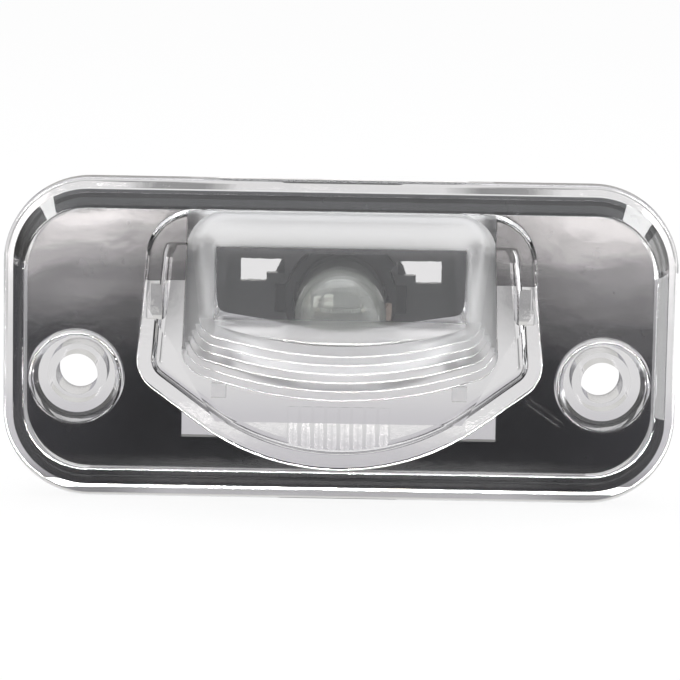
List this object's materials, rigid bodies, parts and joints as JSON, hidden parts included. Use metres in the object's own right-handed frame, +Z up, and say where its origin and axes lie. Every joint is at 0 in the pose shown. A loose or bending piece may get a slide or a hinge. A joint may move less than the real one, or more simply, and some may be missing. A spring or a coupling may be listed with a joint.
{
  "type": "number plate lamp",
  "caption": "Rear number plate lamp: clear screw-on lens with a ribbed nose and sloping window over a black carrier, wedge bulb and twist-in holder.",
  "frame": {"origin": "midway between the two screw holes, on the rear seating plane", "axes": "+X to the right along the flange as seen from the front, -Y towards the viewer, +Z up"},
  "size_m": [0.074, 0.0432, 0.0354],
  "materials": {
    "clear_plastic": "clear moulded, polished",
    "black_plastic": "moulded black, semi-gloss",
    "holder_plastic": "moulded black, matt",
    "seal_rubber": "soft matt",
    "contact_brass": "rolled strip",
    "bulb_clear_glass": "clear blown glass",
    "filament_wire": "fine coiled wire",
    "lead_wire": "drawn wire"
  },
  "bodies": {
    "root": {"lens": "clear_plastic", "carrier": "black_plastic", "bulb_holder": "holder_plastic", "holder_seal": "seal_rubber", "feed_contact": "contact_brass", "earth_contact": "contact_brass", "bulb_glass": "bulb_clear_glass", "bulb_filament": "filament_wire", "lead_wire_left": "lead_wire", "lead_wire_right": "lead_wire"}
  },
  "joints": []
}
